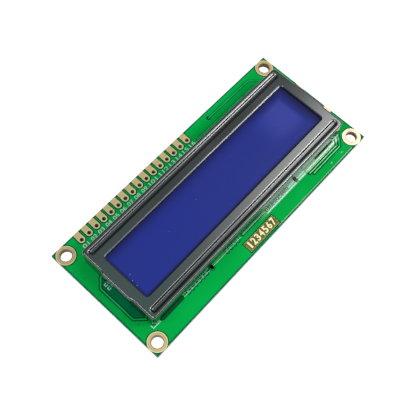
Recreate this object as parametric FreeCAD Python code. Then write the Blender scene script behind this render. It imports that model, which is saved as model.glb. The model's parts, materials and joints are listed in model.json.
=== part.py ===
import FreeCAD, Part
import math
import os
from FreeCAD import Vector

# Character display module, lying on its back: X along the length, Y across it, Z up out of the screen.
# The origin is the middle of the board's outline, on the plane that the bezel's tabs stand on. All in mm.

# Circuit board
boardLength = 80.0
boardWidth = 36.0
boardThick = 1.6
foilThick = 0.05               # bare lands stand this far off the board

# Holes and lands
mountHoleR = 1.5
mountLandR = 2.5
mountInset = 2.5          # from the mounting hole's axis to each board edge
headerPins = 16
headerPitch = 2.54
headerStart = 8.0         # from the board's end to the first header hole
headerInset = 2.3         # from the header row to the board edge
headerHoleR = 0.5
toolHoleXs = (-15.2, 17.4)
toolHoleR = 0.55
toolHoleGap = 0.25        # from the bezel's lower side to the tooling holes' middle
headerLandR = 0.875
markLength = 10.8
markWidth = 2.7
markInset = 0.85          # from the bare marking field to the board edge

# Bezel, folded from one steel sheet
bezelInset = 4.6          # from the board's end to the bezel's end wall
bezelWidth = 23.8
bezelHeight = 7.0         # from the board's face to the bezel's top
displayY = -0.55          # centre line of the bezel and of all it holds
sheetThick = 0.4
foldR = 0.5
cornerR = 0.9
windowEndRim = 2.9        # from the bezel's outer faces to the window
windowSideRim = 4.85
windowR = 0.8
windowDraw = 0.3          # the punch draws the rim down round the window, over this width
windowDrop = 0.12
grooveInset = 1.78        # pressed groove, from the side wall's outer face to its middle
grooveEndInset = 1.2      # from the end wall's outer face to the groove's end
grooveHalfTop = 0.82
grooveHalfFloor = 0.36
grooveDepth = 0.45
grooveRimR = 0.7
grooveFloorR = 0.4
bulgeDepth = 0.38         # how far the middle of each end wall is set outward
bulgeRamp = 0.8
bulgeRidgeR = 1.2
bulgeHollowR = 0.6
bulgeGap = 0.2            # from the outer pin's side to the ramp
notchHeight = 3.4
notchGap = 0.4            # from the outer pin's side to the notch's side
slitWidth = 0.2
tabReach = 1.8            # how far the tabs stand out below the board
tabWidth = 2.2
tabInset = 3.4            # from the end wall's outer face to the outer tabs' middle
tabTwist = 40.0
tabSlotGap = 0.15
cutReach = 2.0            # how far a cutter stands out on each side of a wall

# Display cell and the strips that feed it
cellEaseGap = 0.3         # between the cell and the bezel's inner faces
glassThick = 1.1
cellGap = 0.1
sealInset = 0.3
sealWidth = 0.8
filmThick = 0.2
filmEndLap = 1.3          # film hidden behind the window's rim
filmSideLap = 1.15
plugReach = 0.35
plugWidth = 3.2
stripWidth = 1.8
stripInset = 2.4          # from the end wall's outer face to the strip's end
stripGap = 0.42           # between a strip and the rear glass
fingerPitch = 3.2
fingerWidth = 1.6

# Backlight
frameInset = 0.3          # from the cell's end to the tray's end
frameWall = 1.2
frameFloor = 0.5
pocketLap = 0.55          # how far the tray's pocket runs past the window's side
reflectorThick = 0.15
diffuserThick = 0.3
diffuserSink = 0.2
fitGap = 0.1
ledCount = 3
ledPitch = 4.6
ledDepth = 0.75
ledWidth = 3.0
ledHeight = 1.6
ledBoardThick = 0.55
pinWidth = 0.6
pinThick = 0.3
pinOffset = 3.9
pinHeight = 1.5           # pin's middle above the board's face
pinBendR = 0.6
pinBendInset = 2.8        # from the board's end to the bent pin's middle
edgeLandLength = 3.6
edgeLandWidth = 2.4
edgeLandOffset = 4.9
solderBaseX, solderBaseY = 0.75, 0.85
solderTopX, solderTopY = 0.3, 0.42
solderHeight = 0.7

# Pieces on the board's back
capR = 6.5
capTipR = 5.0
capHeight = 1.35
leftCapX, rightCapX, capY = -16.0, 18.0, -2.0
chipLength = 2.0
chipWidth = 1.25
resistorHeight = 0.5
capacitorHeight = 0.8
terminalLength = 0.4
terminalThick = 0.03
chipPitchX, chipPitchY = 3.6, 2.8
chipX, resistorY, capacitorY = 1.0, 3.4, -5.0
solderLength = 0.5
solderWidth = 1.0

bezelLength = boardLength - 2 * bezelInset
windowLength = bezelLength - 2 * windowEndRim
windowWidth = bezelWidth - 2 * windowSideRim
grooveOffset = bezelWidth / 2 - grooveInset
grooveEnd = bezelLength / 2 - grooveEndInset
bulgeHalf = pinOffset + pinWidth / 2 + bulgeGap
notchHalf = pinOffset + pinWidth / 2 + notchGap
outerTabX = bezelLength / 2 - tabInset
tabXs = (-outerTabX, -outerTabX / 2, outerTabX / 2, outerTabX)
glassLength = bezelLength - 2 * (sheetThick + cellEaseGap)
frontGlassWidth = bezelWidth - 2 * (sheetThick + cellEaseGap)
rearGlassWidth = 2 * (grooveOffset - stripWidth / 2 - stripGap)
filmLength = windowLength + 2 * filmEndLap
filmWidth = windowWidth + 2 * filmSideLap
stripLength = bezelLength - 2 * stripInset
fingerCount = int((stripLength - fingerWidth) / fingerPitch)
frameLength = glassLength - 2 * frameInset
pocketWidth = windowWidth + 2 * pocketLap
pinBendX = boardLength / 2 - pinBendInset

boardBack = tabReach
boardFront = boardBack + boardThick
landTop = boardFront + foilThick
bezelTop = boardFront + bezelHeight
glassTop = bezelTop - sheetThick - grooveDepth
glassUnder = glassTop - glassThick
rearGlassTop = glassUnder - cellGap
rearGlassUnder = rearGlassTop - glassThick
rearFilmUnder = rearGlassUnder - filmThick
guideUnder = boardFront + frameFloor + reflectorThick
guideTop = rearFilmUnder - diffuserSink - diffuserThick
headerY = boardWidth / 2 - headerInset
headerXs = [headerStart - boardLength / 2 + headerPitch * i for i in range(headerPins)]
mountX, mountY = boardLength / 2 - mountInset, boardWidth / 2 - mountInset
tabY = bezelWidth / 2 - sheetThick / 2

os.makedirs("parts", exist_ok=True)


def save(name, *shapes):
    shape = shapes[0] if len(shapes) == 1 else Part.makeCompound(shapes)
    if not shape.isValid():
        raise ValueError(name)
    shape.exportStep("parts/" + name + ".step")


def block(x0, x1, y0, y1, z0, z1):
    return Part.makeBox(x1 - x0, y1 - y0, z1 - z0, Vector(x0, y0, z0))


def disc(x, y, z0, z1, r):
    return Part.makeCylinder(r, z1 - z0, Vector(x, y, z0))


# A flat plate about the display's centre line
def plate(length, width, z0, z1):
    return block(-length / 2, length / 2, displayY - width / 2, displayY + width / 2, z0, z1)


# A land or the opening in it, nearly round: a regular polygon whose flats lie at radius r
def pad(x, y, r, sides):
    corner = r / math.cos(math.pi / sides)
    turns = [math.pi * (2 * i + 1) / sides for i in range(sides + 1)]
    ring = [Vector(x + corner * math.cos(t), y + corner * math.sin(t), boardFront) for t in turns]
    return Part.Face(Part.makePolygon(ring)).extrude(Vector(0, 0, foilThick))


def uprightEdges(shape):
    return [e for e in shape.Edges if abs(e.tangentAt(e.FirstParameter).z) > 0.99]


def edgesAt(shape, z):
    return [e for e in shape.Edges if e.BoundBox.ZMin > z - 0.001 and e.BoundBox.ZMax < z + 0.001]


# Circuit board, with its mounting, header and tooling holes and the slots for the bezel's tabs
mountCentres = {
    "upper_left": (-mountX, mountY),
    "upper_right": (mountX, mountY),
    "lower_left": (-mountX, -mountY),
    "lower_right": (mountX, -mountY),
}
slotX, slotY = tabWidth / 2 + tabSlotGap, sheetThick / 2 + tabSlotGap
cuts = [disc(x, y, boardBack, boardFront, mountHoleR) for x, y in mountCentres.values()]
cuts += [disc(x, headerY, boardBack, boardFront, headerHoleR) for x in headerXs]
toolHoleY = displayY - bezelWidth / 2 - toolHoleGap
cuts += [disc(x, toolHoleY, boardBack, boardFront, toolHoleR) for x in toolHoleXs]
cuts += [
    block(x - slotX, x + slotX, displayY + side * tabY - slotY, displayY + side * tabY + slotY,
          boardBack, boardFront)
    for x in tabXs for side in (-1, 1)
]
outline = block(-boardLength / 2, boardLength / 2, -boardWidth / 2, boardWidth / 2, boardBack, boardFront)
save("circuit_board", outline.cut(cuts))

# Bare plated lands: round the mounting holes they are clipped by the board's corner,
# and each header land is round about its hole and runs out to the board's edge
rim = block(-boardLength / 2, boardLength / 2, -boardWidth / 2, boardWidth / 2, boardFront, landTop)
for name, (x, y) in mountCentres.items():
    land = pad(x, y, mountLandR, 24).common(rim)
    save(name + "_land", land.cut(disc(x, y, boardFront, landTop, mountHoleR)))

headerLands = []
for x in headerXs:
    run = block(x - headerLandR, x + headerLandR, headerY, boardWidth / 2, boardFront, landTop)
    land = pad(x, headerY, headerLandR, 12).fuse(run).removeSplitter()
    headerLands.append(land.cut(pad(x, headerY, headerHoleR, 14)))
save("header_lands", *headerLands)

markY = markInset - boardWidth / 2
save("marking_land", block(-markLength / 2, markLength / 2, markY, markY + markWidth, boardFront, landTop))

edgeLands = []
for y in (displayY - edgeLandOffset, displayY + edgeLandOffset):
    edgeLands.append(block(boardLength / 2 - edgeLandLength, boardLength / 2, y - edgeLandWidth / 2,
                           y + edgeLandWidth / 2, boardFront, landTop))
save("backlight_lands", *edgeLands)

# Contact fingers on the board, and the elastic strips that stand on them and press on the front glass
for name, side in (("lower_contact", -1), ("upper_contact", 1)):
    y = displayY + side * grooveOffset
    first = -fingerPitch * (fingerCount - 1) / 2
    save(name + "_fingers", *[
        block(first + fingerPitch * i - fingerWidth / 2, first + fingerPitch * i + fingerWidth / 2,
              y - stripWidth / 2, y + stripWidth / 2, boardFront, landTop)
        for i in range(fingerCount)
    ])
    save(name + "_strip", block(-stripLength / 2, stripLength / 2, y - stripWidth / 2, y + stripWidth / 2,
                                landTop, glassUnder))


# Outline of the bezel's walls, inset from its outer face: the middle of each end wall is joggled outward
def bezelPrism(inset, top):
    halfX, halfY = bezelLength / 2 - inset, bezelWidth / 2 - inset
    shift = inset * math.tan(math.atan2(bulgeDepth, bulgeRamp) / 2)
    near, far = bulgeHalf - shift, bulgeHalf + bulgeRamp - shift
    end = [(halfX, -halfY), (halfX, -far), (halfX + bulgeDepth, -near)]
    end += [(x, -y) for x, y in reversed(end)]
    loop = [Vector(x, displayY + y, boardFront) for x, y in end]
    loop += [Vector(-x, displayY - y, boardFront) for x, y in end]
    return Part.Face(Part.makePolygon(loop + loop[:1])).extrude(Vector(0, 0, top - boardFront))


def roundBends(body):
    halfX, halfY = bezelLength / 2, bezelWidth / 2
    tests = (
        (cornerR, lambda x, y: y > halfY - 0.01),
        (bulgeRidgeR, lambda x, y: x > halfX + bulgeDepth - 0.01 and y < bulgeHalf + 0.01),
        (bulgeHollowR, lambda x, y: x < halfX + 0.01 and abs(y - bulgeHalf - bulgeRamp) < 0.01),
    )
    for radius, isBend in tests:
        picked = [
            e for e in uprightEdges(body)
            if isBend(abs(e.CenterOfMass.x), abs(e.CenterOfMass.y - displayY))
        ]
        body = body.makeFillet(radius, picked)
    return body


# Outline of the groove at height z: round at the ends as pressed, or square where it bears on the glass
def grooveWire(halfWidth, side, z, isRound):
    y = displayY + side * grooveOffset
    reach = grooveEnd - grooveHalfTop + (0 if isRound else halfWidth)
    a, b = Vector(-reach, y - halfWidth, z), Vector(reach, y - halfWidth, z)
    c, d = Vector(reach, y + halfWidth, z), Vector(-reach, y + halfWidth, z)
    if not isRound:
        return Part.makePolygon([a, b, c, d, a])
    right = Part.Arc(b, Vector(reach + halfWidth, y, z), c).toShape()
    left = Part.Arc(d, Vector(-reach - halfWidth, y, z), a).toShape()
    return Part.Wire([Part.makeLine(a, b), right, Part.makeLine(c, d), left])


# The groove's trough in a face at height z, flared on past that face
def groove(side, z, grow=0, isRound=True):
    rise = 0.2
    slope = (grooveHalfTop - grooveHalfFloor) / grooveDepth
    low = grooveWire(grooveHalfFloor + grow, side, z - grooveDepth, isRound)
    high = grooveWire(grooveHalfTop + grow + rise * slope, side, z + rise, isRound)
    return Part.makeLoft([low, high], True, True)


# Outline of the window at height z
def windowWire(grow, z):
    sheet = plate(windowLength + 2 * grow, windowWidth + 2 * grow, z, z + sheetThick)
    sheet = sheet.makeFillet(windowR + grow, uprightEdges(sheet))
    return Part.Wire(Part.sortEdges(edgesAt(sheet, z))[0])


# A strip that goes through the board and is twisted below it, so that its edges bear on the board's back
def tab(x, side):
    steps = [(boardBack * (1 - 0.22 * i), tabTwist * i / 3) for i in range(4)]
    steps = [(boardFront, 0)] + steps + [(0, tabTwist)]
    rings = []
    for z, turn in steps:
        across = Vector(math.cos(math.radians(turn)), math.sin(math.radians(turn)), 0)
        through = Vector(-across.y, across.x, 0)
        middle = Vector(x, displayY + side * tabY, z)
        rings.append([middle + across * (i * tabWidth / 2) + through * (j * sheetThick / 2)
                      for i, j in ((-1, -1), (1, -1), (1, 1), (-1, 1))])
    faces = [Part.Face(Part.makePolygon(ring + ring[:1])) for ring in (rings[0], rings[-1])]
    for upper, lower in zip(rings, rings[1:]):
        for i in range(4):
            a, b, c, d = upper[i - 1], upper[i], lower[i], lower[i - 1]
            faces += [Part.Face(Part.makePolygon([a, b, c, a])), Part.Face(Part.makePolygon([a, c, d, a]))]
    return Part.Solid(Part.Shell(faces))


outside = roundBends(bezelPrism(0, bezelTop))
outside = outside.makeFillet(foldR, edgesAt(outside, bezelTop))
outside = outside.cut([groove(side, bezelTop) for side in (-1, 1)])
for radius, z in ((grooveFloorR, bezelTop - grooveDepth), (grooveRimR, bezelTop)):
    rims = [
        e for e in edgesAt(outside, z)
        if abs(e.CenterOfMass.x) < grooveEnd
        and abs(abs(e.CenterOfMass.y - displayY) - grooveOffset) < grooveHalfTop + 0.01
    ]
    outside = outside.makeFillet(radius, rims)

innerTop = bezelTop - sheetThick
wallSlope = math.atan2(grooveDepth, grooveHalfTop - grooveHalfFloor)
inside = bezelPrism(sheetThick, innerTop)
inside = inside.makeChamfer((foldR - sheetThick) * 0.6, edgesAt(inside, innerTop))
grow = sheetThick * math.tan(wallSlope / 2)
inside = inside.cut([groove(side, innerTop, grow, False) for side in (-1, 1)])

levels = ((0, glassTop), (0, bezelTop - windowDrop), (windowDraw, bezelTop))
rings = [windowWire(grow, z) for grow, z in levels]
window = [Part.makeLoft([low, high], True, True) for low, high in zip(rings, rings[1:])]
bezel = outside.cut([inside] + window)

# Each end wall is notched clear of the backlight's pins, and the folds leave a slit down each corner
slitTop = bezelTop - foldR - slitWidth
cornerX, cornerY = bezelLength / 2 - sheetThick, bezelWidth / 2 - sheetThick
cuts = []
for i in (-1, 1):
    notch = block(-cutReach, cutReach, -notchHalf, notchHalf, boardFront, boardFront + notchHeight)
    shoulders = [
        e for e in edgesAt(notch, boardFront + notchHeight) if abs(e.tangentAt(e.FirstParameter).x) > 0.99
    ]
    notch = notch.makeFillet(bulgeHollowR, shoulders)
    notch.translate(Vector(i * bezelLength / 2, displayY, 0))
    cuts.append(notch)
    for j in (-1, 1):
        slit = block(-cutReach, cutReach, -slitWidth / 2, slitWidth / 2, boardFront, slitTop)
        slit.rotate(Vector(0, 0, 0), Vector(0, 0, 1), 45 * i * j)
        slit.translate(Vector(i * cornerX, displayY + j * cornerY, 0))
        cuts.append(slit)
bezel = bezel.cut(cuts).fuse([tab(x, side) for x in tabXs for side in (-1, 1)])
save("bezel", bezel.removeSplitter())

# Display cell: two glasses joined by a ring of sealant, a polarising film on each face
save("front_polariser", plate(filmLength, filmWidth, glassTop, glassTop + filmThick))
save("front_glass", plate(glassLength, frontGlassWidth, glassUnder, glassTop))
save("rear_glass", plate(glassLength, rearGlassWidth, rearGlassUnder, rearGlassTop))
save("rear_polariser", plate(filmLength, filmWidth, rearFilmUnder, rearGlassUnder))
sealLength, sealSpan = glassLength - 2 * sealInset, rearGlassWidth - 2 * sealInset
seal = plate(sealLength, sealSpan, rearGlassTop, glassUnder)
opening = plate(sealLength - 2 * sealWidth, sealSpan - 2 * sealWidth, rearGlassTop, glassUnder)
save("cell_seal", seal.cut(opening))
cellEnd = -glassLength / 2
plug = block(cellEnd - plugReach, cellEnd, displayY - plugWidth / 2, displayY + plugWidth / 2,
             rearGlassTop - glassThick / 2, glassUnder + glassThick / 2)
outer = [e for e in plug.Edges if e.BoundBox.XMax < cellEnd - plugReach + 0.001]
save("fill_port_plug", plug.makeChamfer(plugReach * 0.6, outer))

# Backlight: a tray that holds the reflector, the light guide, the diffuser and the lamps' strip
pinZ = boardFront + pinHeight
pocketEnd = frameLength / 2 - frameWall
frameWidth = 2 * (grooveOffset - stripWidth / 2 - fitGap)
frame = plate(frameLength, frameWidth, boardFront, rearFilmUnder)
frame = frame.cut(plate(2 * pocketEnd, pocketWidth, boardFront + frameFloor, rearFilmUnder))
save("backlight_frame", frame.cut([
    block(pocketEnd, frameLength / 2, displayY + side * pinOffset - pinWidth / 2 - fitGap,
          displayY + side * pinOffset + pinWidth / 2 + fitGap,
          pinZ - pinThick / 2 - fitGap, pinZ + pinThick / 2 + fitGap)
    for side in (-1, 1)
]))

insideX = pocketEnd - fitGap
insideWidth = pocketWidth - 2 * fitGap
ledBoardX = insideX - ledBoardThick
ledX = ledBoardX - ledDepth
ledZ = (guideUnder + guideTop) / 2
guide = plate(2 * insideX, insideWidth, guideUnder, guideTop)
save("reflector_film", plate(2 * insideX, insideWidth, boardFront + frameFloor, guideUnder))
save("light_guide", guide.cut(block(ledX - fitGap, insideX, -boardWidth, boardWidth, guideUnder, guideTop)))
save("led_board", guide.cut(block(-insideX, ledBoardX, -boardWidth, boardWidth, guideUnder, guideTop)))
save("diffuser_film", plate(2 * insideX, insideWidth, guideTop, guideTop + diffuserThick))
for i in range(ledCount):
    y = displayY + (i - (ledCount - 1) / 2) * ledPitch
    save("led_%d" % (i + 1), block(ledX, ledBoardX, y - ledWidth / 2, y + ledWidth / 2,
                                    ledZ - ledHeight / 2, ledZ + ledHeight / 2))


# Flat pin from the lamps' strip, out through the tray and bent down onto its land
def pinBlank(y):
    top, low = pinZ + pinThick / 2, pinZ - pinThick / 2
    far, near = pinBendX + pinThick / 2, pinBendX - pinThick / 2
    bends = []
    for r in (pinBendR, pinBendR - pinThick):
        x, z = far - pinBendR, top - pinBendR
        half = r * math.sqrt(0.5)
        bends.append((Vector(x, y, z + r), Vector(x + half, y, z + half), Vector(x + r, y, z)))
    (a, b, c), (d, e, f) = bends
    tip, heel = Vector(far, y, landTop), Vector(near, y, landTop)
    start, under = Vector(insideX, y, top), Vector(insideX, y, low)
    outer = [Part.makeLine(start, a), Part.Arc(a, b, c).toShape(), Part.makeLine(c, tip)]
    inner = [Part.makeLine(heel, f), Part.Arc(f, e, d).toShape(), Part.makeLine(d, under)]
    return Part.Face(Part.Wire(outer + [Part.makeLine(tip, heel)] + inner + [Part.makeLine(under, start)]))


for name, side, land in (("cathode", -1, edgeLands[0]), ("anode", 1, edgeLands[1])):
    y = displayY + side * pinOffset
    pin = pinBlank(y - pinWidth / 2).extrude(Vector(0, pinWidth, 0))
    save(name + "_pin", pin)
    over = land.BoundBox
    sections = []
    crown = landTop + solderHeight
    for halfX, halfY, z in ((solderBaseX, solderBaseY, landTop), (solderTopX, solderTopY, crown)):
        near, far, low, high = pinBendX - halfX, pinBendX + halfX, y - halfY, y + halfY
        corners = [Vector(near, low, z), Vector(far, low, z), Vector(far, high, z), Vector(near, high, z)]
        sections.append(Part.makePolygon(corners + corners[:1]))
    joint = Part.makeLoft(sections, True, True)
    joint = joint.common(block(over.XMin, over.XMax, over.YMin, over.YMax, landTop, bezelTop))
    save(name + "_solder", joint.cut(pin))

# Driver chips under their caps of poured resin
for name, x in zip(("left_driver_cap", "right_driver_cap"), (leftCapX, rightCapX)):
    save(name, Part.makeCone(capR, capTipR, capHeight, Vector(x, capY, boardBack), Vector(0, 0, -1)))


# A chip part: a ceramic body between two plated ends, hung from the board's back
def chip(x, y, height):
    halfX, halfY = chipLength / 2 - terminalThick, chipWidth / 2 - terminalThick
    core = block(x - halfX, x + halfX, y - halfY, y + halfY,
                 boardBack - height + terminalThick, boardBack - terminalThick)
    ends = []
    for side in (-1, 1):
        near, far = sorted((x + side * chipLength / 2, x + side * (chipLength / 2 - terminalLength)))
        ends.append(block(near, far, y - chipWidth / 2, y + chipWidth / 2, boardBack - height, boardBack))
    return core.fuse(ends)


solder = []
columns = [chipX + chipPitchX * i for i in (-1, 0, 1)]
resistorRows = [resistorY + chipPitchY * i for i in (1, 0, -1)]
groups = (("resistor_%d", resistorHeight, resistorRows), ("capacitor_%d", capacitorHeight, [capacitorY]))
for label, height, rows in groups:
    centres = [(x, y) for y in rows for x in columns]
    for i, (x, y) in enumerate(centres):
        save(label % (i + 1), chip(x, y, height))
        for side in (-1, 1):
            end = x + side * chipLength / 2
            wedge = [Vector(end, y - solderWidth / 2, boardBack),
                     Vector(end + side * solderLength, y - solderWidth / 2, boardBack),
                     Vector(end, y - solderWidth / 2, boardBack - 0.75 * height)]
            solder.append(Part.Face(Part.makePolygon(wedge + wedge[:1])).extrude(Vector(0, solderWidth, 0)))
save("chip_solder", *solder)
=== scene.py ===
import bpy
import bmesh
import json
import math
import random
from mathutils import Matrix, Vector


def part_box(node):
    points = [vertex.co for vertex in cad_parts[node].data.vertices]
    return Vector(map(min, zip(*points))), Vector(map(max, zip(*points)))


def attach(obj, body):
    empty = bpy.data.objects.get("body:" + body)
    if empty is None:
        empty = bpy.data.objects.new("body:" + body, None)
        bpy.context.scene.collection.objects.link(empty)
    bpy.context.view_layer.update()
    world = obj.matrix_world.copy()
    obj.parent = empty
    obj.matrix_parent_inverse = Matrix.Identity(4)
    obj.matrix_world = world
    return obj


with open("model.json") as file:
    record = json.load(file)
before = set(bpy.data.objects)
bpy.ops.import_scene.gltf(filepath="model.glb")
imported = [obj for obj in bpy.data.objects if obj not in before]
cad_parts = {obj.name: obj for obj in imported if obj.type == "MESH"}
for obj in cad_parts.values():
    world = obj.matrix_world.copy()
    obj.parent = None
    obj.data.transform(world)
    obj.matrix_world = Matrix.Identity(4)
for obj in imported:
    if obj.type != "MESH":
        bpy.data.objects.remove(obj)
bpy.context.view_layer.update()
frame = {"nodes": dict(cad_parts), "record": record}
nodes = frame["nodes"]
print("frame loaded,", len(nodes), "nodes")

mm = 0.001
boardLow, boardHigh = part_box("circuit_board")
face = boardHigh.z / mm          # front of the board
back = boardLow.z / mm
displayY = -0.55                 # middle of the bezel

board = {                        # outline and holes of the board, in mm from its middle
    "halfX": 40.0, "halfY": 18.0, "mountX": 37.5, "mountY": 15.5,
    "firstX": -32.0, "rowY": 15.7, "pitch": 2.54, "count": 16,
}


def newGroup(name, inputs, outputs):
    group = bpy.data.node_groups.new(name, "ShaderNodeTree")
    for label, kind, value in inputs:
        socket = group.interface.new_socket(name=label, in_out="INPUT", socket_type=kind)
        socket.default_value = value
    for label, kind in outputs:
        group.interface.new_socket(name=label, in_out="OUTPUT", socket_type=kind)
    return group, group.nodes.new("NodeGroupInput"), group.nodes.new("NodeGroupOutput")


def mathNode(tree, operation, first, second=None, third=None, clamp=False):
    node = tree.nodes.new("ShaderNodeMath")
    node.operation = operation
    node.use_clamp = clamp
    for socket, value in zip(node.inputs, (first, second, third)):
        if value is None:
            continue
        if isinstance(value, (int, float)):
            socket.default_value = value
        else:
            tree.links.new(value, socket)
    return node.outputs[0]


def times(tree, first, second):
    return mathNode(tree, "MULTIPLY", first, second)


def less(tree, first, second, clamp=False):
    return mathNode(tree, "SUBTRACT", first, second, clamp=clamp)


def unsigned(tree, value):
    return mathNode(tree, "ABSOLUTE", value)


def most(tree, first, second):
    return mathNode(tree, "MAXIMUM", first, second)


def below(tree, first, second):
    return mathNode(tree, "LESS_THAN", first, second)


def above(tree, first, second):
    return mathNode(tree, "GREATER_THAN", first, second)


def mixColour(tree, factor, first, second):
    node = tree.nodes.new("ShaderNodeMix")
    node.data_type = "RGBA"
    for socket, value in ((node.inputs[0], factor), (node.inputs[6], first), (node.inputs[7], second)):
        if isinstance(value, (int, float)):
            socket.default_value = value
        elif isinstance(value, (tuple, list)):
            socket.default_value = tuple(value) + (1.0,) * (4 - len(value))
        else:
            tree.links.new(value, socket)
    return node.outputs[2]


def parted(tree, vector):
    parts = tree.nodes.new("ShaderNodeSeparateXYZ")
    tree.links.new(vector, parts.inputs[0])
    return tuple(parts.outputs)


def millimetres(tree):           # object coordinates in mm, and their three parts
    coords = tree.nodes.new("ShaderNodeTexCoord")
    scale = tree.nodes.new("ShaderNodeVectorMath")
    scale.operation = "SCALE"
    scale.inputs["Scale"].default_value = 1 / mm
    tree.links.new(coords.outputs["Object"], scale.inputs[0])
    return (scale.outputs[0],) + parted(tree, scale.outputs[0])


def ramp(tree, value, low, high):    # 0 below low, 1 above high, smooth between
    node = tree.nodes.new("ShaderNodeMapRange")
    node.interpolation_type = "SMOOTHSTEP"
    tree.links.new(value, node.inputs["Value"])
    node.inputs["From Min"].default_value = low
    node.inputs["From Max"].default_value = high
    return node.outputs[0]


def window(tree, value, edges):      # 0, then 1 between the two middle edges, then 0
    return times(tree, ramp(tree, value, *edges[:2]), less(tree, 1.0, ramp(tree, value, *edges[2:])))


def distance(tree, across, along):
    squares = [times(tree, part, part) for part in (across, along)]
    return mathNode(tree, "SQRT", mathNode(tree, "ADD", *squares))


def fromMount(tree, x, y):           # distance in mm from the nearest mounting hole's axis
    across = less(tree, unsigned(tree, x), board["mountX"])
    along = less(tree, unsigned(tree, y), board["mountY"])
    return distance(tree, across, along)


def fromRow(tree, x, y, straight=False):     # the same for a header hole, or straight up from it
    half = board["pitch"] / 2
    shifted = mathNode(tree, "ADD", x, half - board["firstX"])
    across = less(tree, mathNode(tree, "FLOORED_MODULO", shifted, board["pitch"]), half)
    along = less(tree, y, board["rowY"])
    return distance(tree, across, mathNode(tree, "MINIMUM", along, 0.0) if straight else along)


def makeFinish():                # grain and cloudy tone for every finish
    group, source, sink = newGroup("finish", [
        ("Color", "NodeSocketColor", (0.5, 0.5, 0.5, 1)),
        ("Shade", "NodeSocketColor", (0.4, 0.4, 0.4, 1)),
        ("Cloud Size", "NodeSocketFloat", 0.2),
        ("Grain Size", "NodeSocketFloat", 6.0),
        ("Grain", "NodeSocketFloat", 0.2),
        ("Smoothest", "NodeSocketFloat", 0.3),
        ("Roughest", "NodeSocketFloat", 0.5),
    ], [("Color", "NodeSocketColor"), ("Roughness", "NodeSocketFloat"), ("Height", "NodeSocketFloat")])
    vector = millimetres(group)[0]
    clouds = group.nodes.new("ShaderNodeTexNoise")
    grains = group.nodes.new("ShaderNodeTexNoise")
    clouds.inputs["Detail"].default_value = 3.0
    grains.inputs["Detail"].default_value = 2.0
    for node, label in ((clouds, "Cloud Size"), (grains, "Grain Size")):
        group.links.new(vector, node.inputs["Vector"])
        group.links.new(source.outputs[label], node.inputs["Scale"])
    cloudy = ramp(group, clouds.outputs["Fac"], 0.3, 0.7)
    grainy = times(group, less(group, grains.outputs["Fac"], 0.5), source.outputs["Grain"])
    mixed = mathNode(group, "ADD", cloudy, times(group, grainy, 3.0), clamp=True)
    colour = mixColour(group, mixed, source.outputs["Color"], source.outputs["Shade"])
    spread = less(group, source.outputs["Roughest"], source.outputs["Smoothest"])
    rough = mathNode(group, "MULTIPLY_ADD", mixed, spread, source.outputs["Smoothest"])
    group.links.new(colour, sink.inputs["Color"])
    group.links.new(rough, sink.inputs["Roughness"])
    group.links.new(grains.outputs["Fac"], sink.inputs["Height"])
    return group


def makeFlecks():                # rare small spots, as dust or pits
    group, source, sink = newGroup("flecks", [
        ("Spacing", "NodeSocketFloat", 1.0),
        ("Spot", "NodeSocketFloat", 0.08),
        ("Share", "NodeSocketFloat", 0.3),
    ], [("Mask", "NodeSocketFloat")])
    cells = group.nodes.new("ShaderNodeTexVoronoi")
    group.links.new(millimetres(group)[0], cells.inputs["Vector"])
    group.links.new(mathNode(group, "DIVIDE", 1.0, source.outputs["Spacing"]), cells.inputs["Scale"])
    parts = group.nodes.new("ShaderNodeSeparateColor")
    group.links.new(cells.outputs["Color"], parts.inputs[0])
    chosen = below(group, parts.outputs[0], source.outputs["Share"])
    reach = times(group, parts.outputs[1], source.outputs["Spot"])
    inside = below(group, cells.outputs["Distance"], reach)
    group.links.new(times(group, chosen, inside), sink.inputs["Mask"])
    return group


def makeNearEdge():              # 1 at the sides of a rectangle on the XY plane, fading inward
    group, source, sink = newGroup("nearEdge", [
        ("Half X", "NodeSocketFloat", 30.0),
        ("Half Y", "NodeSocketFloat", 8.0),
        ("Middle Y", "NodeSocketFloat", 0.0),
        ("Reach", "NodeSocketFloat", 1.0),
    ], [("Left", "NodeSocketFloat"), ("Upper", "NodeSocketFloat"), ("Lower", "NodeSocketFloat")])
    x, y = millimetres(group)[1:3]
    fromMiddle = less(group, y, source.outputs["Middle Y"])
    sides = {
        "Left": mathNode(group, "ADD", source.outputs["Half X"], x),
        "Upper": less(group, source.outputs["Half Y"], fromMiddle),
        "Lower": mathNode(group, "ADD", source.outputs["Half Y"], fromMiddle),
    }
    for label, gap in sides.items():
        fade = less(group, 1.0, mathNode(group, "DIVIDE", gap, source.outputs["Reach"], clamp=True))
        group.links.new(times(group, fade, fade), sink.inputs[label])
    return group


def makeByWall():                # 1 where the lacquer is glossiest, along the lower wall of the bezel
    group, source, sink = newGroup("byWall", [
        ("Near Y", "NodeSocketFloat", -13.25),
        ("Far Y", "NodeSocketFloat", -13.7),
        ("Near X", "NodeSocketFloat", 2.0),
        ("Far X", "NodeSocketFloat", 9.0),
        ("Last X", "NodeSocketFloat", 35.0),
        ("Wall Y", "NodeSocketFloat", -12.0),
        ("Lowest Z", "NodeSocketFloat", 2.6),    # so the back keeps its even gloss
    ], [("Mask", "NodeSocketFloat")])
    x, y, z = millimetres(group)[1:]
    limit = source.outputs

    def share(value, low, high):
        return mathNode(group, "DIVIDE", less(group, value, low), less(group, high, low), clamp=True)

    inY = share(y, limit["Far Y"], limit["Near Y"])
    inX = share(x, limit["Near X"], limit["Far X"])
    onFace = times(group, below(group, y, limit["Wall Y"]), above(group, z, limit["Lowest Z"]))
    before = less(group, limit["Last X"], x, clamp=True)
    group.links.new(times(group, times(group, inX, inY), times(group, before, onFace)), sink.inputs["Mask"])
    return group


finishGroup = makeFinish()
flecksGroup = makeFlecks()
nearEdgeGroup = makeNearEdge()
byWallGroup = makeByWall()


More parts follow.
